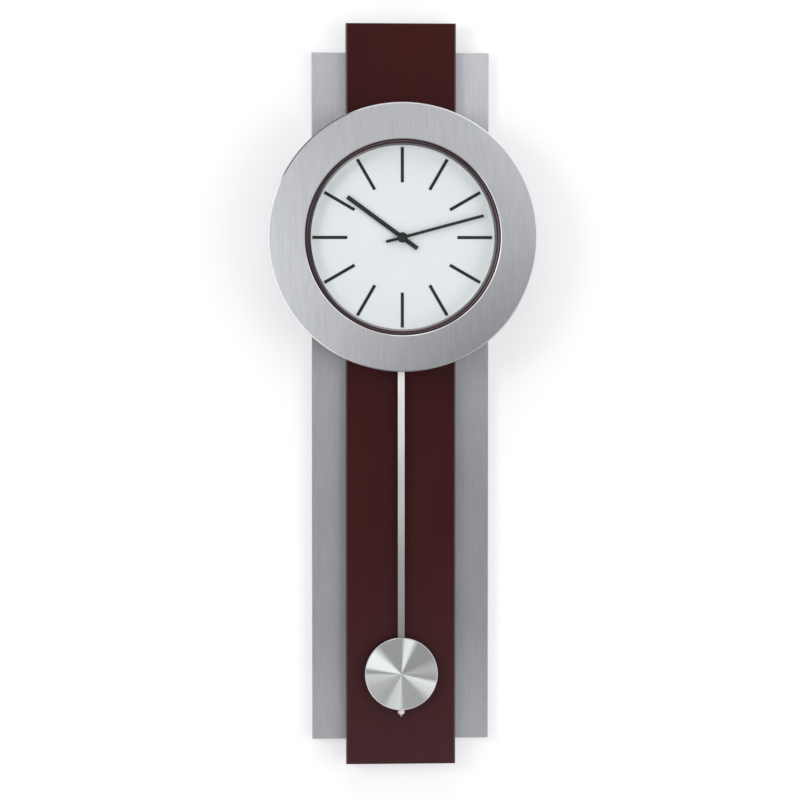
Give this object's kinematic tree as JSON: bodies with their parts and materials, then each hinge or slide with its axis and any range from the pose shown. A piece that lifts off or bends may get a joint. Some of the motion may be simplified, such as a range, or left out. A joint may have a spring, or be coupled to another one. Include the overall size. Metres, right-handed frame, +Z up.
{
  "type": "pendulum wall clock",
  "caption": "Tall wall clock: round dial in a wide metal bezel on a wood centre panel with metal side panels, and a flat-rod pendulum that swings below.",
  "frame": {"origin": "middle of the keyhole in the hanger plate, on the wall plane", "axes": "+Z up, +X to the viewer's right, +Y into the wall; the clock faces -Y"},
  "size_m": [0.2534, 0.068, 0.711],
  "materials": {
    "lacquered_wood": "deep red-brown stained wood under satin-gloss lacquer",
    "panel_board": "plain fibreboard and pine, unfinished",
    "brushed_nickel": "nickel-finished sheet, brushed lengthways",
    "bezel_nickel": "satin nickel plate, brushed straight up and down",
    "zinc_steel": "bright zinc plate",
    "black_rubber": "matte",
    "black_steel": "satin black paint",
    "dark_trim": "dark moulded ring, satin gloss",
    "clear_glass": "clear flat glass",
    "pale_plastic": "moulded, natural white",
    "dial_white": "matte off-white paint",
    "dial_black": "satin black",
    "hand_black": "satin black paint",
    "turned_brass": "turned",
    "case_plastic": "moulded, fine texture",
    "knob_plastic": "moulded, ribbed",
    "copper_coil": "enamelled copper wire",
    "board_green": "solder-masked board",
    "cell_wrap": "printed wrap, plain",
    "satin_rod": "satin nickel, drawn lengthways",
    "spun_bob": "spun finish, bright rim",
    "nut_nickel": "nickel-plated, knurled"
  },
  "bodies": {
    "root": {"centre_panel": "lacquered_wood", "left_side_board": "panel_board", "right_side_board": "panel_board", "left_side_skin": "brushed_nickel", "right_side_skin": "brushed_nickel", "upper_batten": "panel_board", "lower_batten": "panel_board", "panel_screws": "zinc_steel", "keyhole_hanger": "zinc_steel", "hanger_screws": "zinc_steel", "wall_bumpers": "black_rubber", "drum": "black_steel", "drum_screws": "zinc_steel", "bezel_ring": "bezel_nickel", "bezel_screws": "zinc_steel", "inner_trim_ring": "dark_trim", "dial_glass": "clear_glass", "spacer_ring": "pale_plastic", "dial_plate": "dial_white", "hour_markers": "dial_black", "dial_clips": "zinc_steel", "clip_screws": "zinc_steel", "rubber_washer": "black_rubber", "bush_nut": "turned_brass", "threaded_bush": "turned_brass", "movement_front_case": "case_plastic", "movement_rear_case": "case_plastic", "front_gear_plate": "pale_plastic", "rear_gear_plate": "pale_plastic", "motor_stator": "zinc_steel", "motor_core": "zinc_steel", "motor_coil": "copper_coil", "circuit_board": "board_green", "quartz_crystal": "zinc_steel", "pendulum_coil": "copper_coil", "positive_contact": "turned_brass", "negative_contact": "turned_brass", "pivot_pin": "zinc_steel"},
    "battery": {"battery_cell": "cell_wrap"},
    "rotor_body": {"rotor": "pale_plastic"},
    "intermediate": {"intermediate_wheel": "pale_plastic"},
    "seconds": {"seconds_wheel": "pale_plastic"},
    "third": {"third_wheel": "pale_plastic"},
    "centre": {"centre_wheel": "pale_plastic"},
    "minute_motion": {"cannon_pinion": "turned_brass", "minute_hand": "hand_black", "hand_nut": "hand_black"},
    "hour_motion": {"hour_wheel": "pale_plastic", "hour_hand": "hand_black"},
    "setting": {"minute_wheel": "pale_plastic", "setting_knob": "knob_plastic"},
    "pendulum": {"pendulum_leader": "case_plastic", "pendulum_magnet": "zinc_steel", "pendulum_rod": "satin_rod", "rod_stud": "satin_rod"},
    "bob": {"bob_face": "spun_bob", "bob_backing": "case_plastic"},
    "nut": {"rating_nut": "nut_nickel"}
  },
  "joints": [
    {"name": "pendulum_swing", "type": "hinge", "parent": "root", "child": "pendulum", "pos_m": [0, -0.033, -0.1185], "axis": [0, 1, 0], "range_deg": [-5, 5]},
    {"name": "bob_slide", "type": "slide", "parent": "pendulum", "child": "bob", "axis": [0, 0, 1], "range_m": [-0.0015, 0.0015]},
    {"name": "rating_nut_turn", "type": "hinge", "parent": "bob", "child": "nut", "pos_m": [0, -0.0316, -0.59715], "axis": [0, 0, 1], "range_deg": [-1100, 1100]},
    {"name": "minute_hand_turn", "type": "hinge", "parent": "root", "child": "minute_motion", "pos_m": [0, -0.05, -0.1425], "axis": [0, 1, 0], "continuous": true},
    {"name": "hour_hand_turn", "type": "hinge", "parent": "root", "child": "hour_motion", "pos_m": [0, -0.05, -0.1425], "axis": [0, 1, 0], "continuous": true},
    {"name": "setting_knob_turn", "type": "hinge", "parent": "root", "child": "setting", "pos_m": [0.012, -0.045, -0.1425], "axis": [0, 1, 0], "continuous": true},
    {"name": "seconds_wheel_turn", "type": "hinge", "parent": "root", "child": "seconds", "pos_m": [0, -0.042, -0.1425], "axis": [0, 1, 0], "continuous": true},
    {"name": "third_wheel_turn", "type": "hinge", "parent": "root", "child": "third", "pos_m": [0, -0.044, -0.1335], "axis": [0, 1, 0], "continuous": true},
    {"name": "centre_wheel_turn", "type": "hinge", "parent": "root", "child": "centre", "pos_m": [0, -0.0455, -0.1425], "axis": [0, 1, 0], "continuous": true},
    {"name": "intermediate_wheel_turn", "type": "hinge", "parent": "root", "child": "intermediate", "pos_m": [0, -0.041, -0.14998], "axis": [0, 1, 0], "continuous": true},
    {"name": "rotor_turn", "type": "hinge", "parent": "root", "child": "rotor_body", "pos_m": [0, -0.039, -0.15548], "axis": [0, 1, 0], "continuous": true},
    {"name": "battery_pull", "type": "slide", "parent": "root", "child": "battery", "axis": [0, 1, 0], "range_m": [0, 0.02]}
  ],
  "couplings": [
    {"joint": "rating_nut_turn", "follows": "bob_slide", "rad_per_m": 12566},
    {"joint": "hour_hand_turn", "follows": "minute_hand_turn", "ratio": 0.083333},
    {"joint": "setting_knob_turn", "follows": "minute_hand_turn", "ratio": -0.33333},
    {"joint": "third_wheel_turn", "follows": "seconds_wheel_turn", "ratio": -0.13333},
    {"joint": "centre_wheel_turn", "follows": "seconds_wheel_turn", "ratio": 0.016667},
    {"joint": "intermediate_wheel_turn", "follows": "seconds_wheel_turn", "ratio": -7.5},
    {"joint": "rotor_turn", "follows": "seconds_wheel_turn", "ratio": 30}
  ]
}
